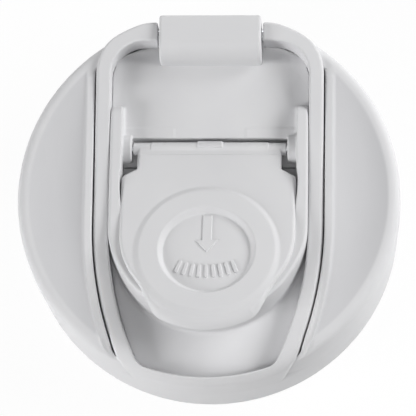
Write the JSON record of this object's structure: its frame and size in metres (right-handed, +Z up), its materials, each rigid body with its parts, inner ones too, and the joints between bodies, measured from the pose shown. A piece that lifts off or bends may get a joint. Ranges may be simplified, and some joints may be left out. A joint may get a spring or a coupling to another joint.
{
  "type": "flip-top drink lid",
  "caption": "Round screw-on drink lid with a hinged flip cap over a spout, dished wings and a carry bail that folds flat round the spout and swings up from a rear hinge block.",
  "frame": {"origin": "lid axis on the plane of the skirt's bottom edge", "axes": "+Z up along the lid axis, -Y towards the spout's front, +Y towards the bail's hinge, +X to the right seen from the front"},
  "size_m": [0.09, 0.09, 0.0351],
  "materials": {
    "white_plastic": "satin moulded polypropylene",
    "liner_plastic": "plain moulded polypropylene",
    "silicone": "matt translucent silicone",
    "steel": "ground"
  },
  "bodies": {
    "lid": {"outer_shell": "white_plastic", "thread_liner": "liner_plastic", "mouth_gasket": "silicone", "spout_deck": "white_plastic", "throat_ring": "silicone", "hinge_block": "white_plastic", "bail_pin": "steel", "flap_pin": "steel"},
    "carry_bail": {"bail": "white_plastic"},
    "cap": {"flip_cap": "white_plastic", "spout_seal": "silicone"}
  },
  "joints": [
    {"name": "bail_swing", "type": "hinge", "parent": "lid", "child": "carry_bail", "pos_m": [0, 0.0399, 0.0244], "axis": [-1, 0, 0], "range_deg": [0, 180]},
    {"name": "cap_flip", "type": "hinge", "parent": "lid", "child": "cap", "pos_m": [0, 0.0124, 0.0222], "axis": [-1, 0, 0], "range_deg": [0, 120]}
  ]
}
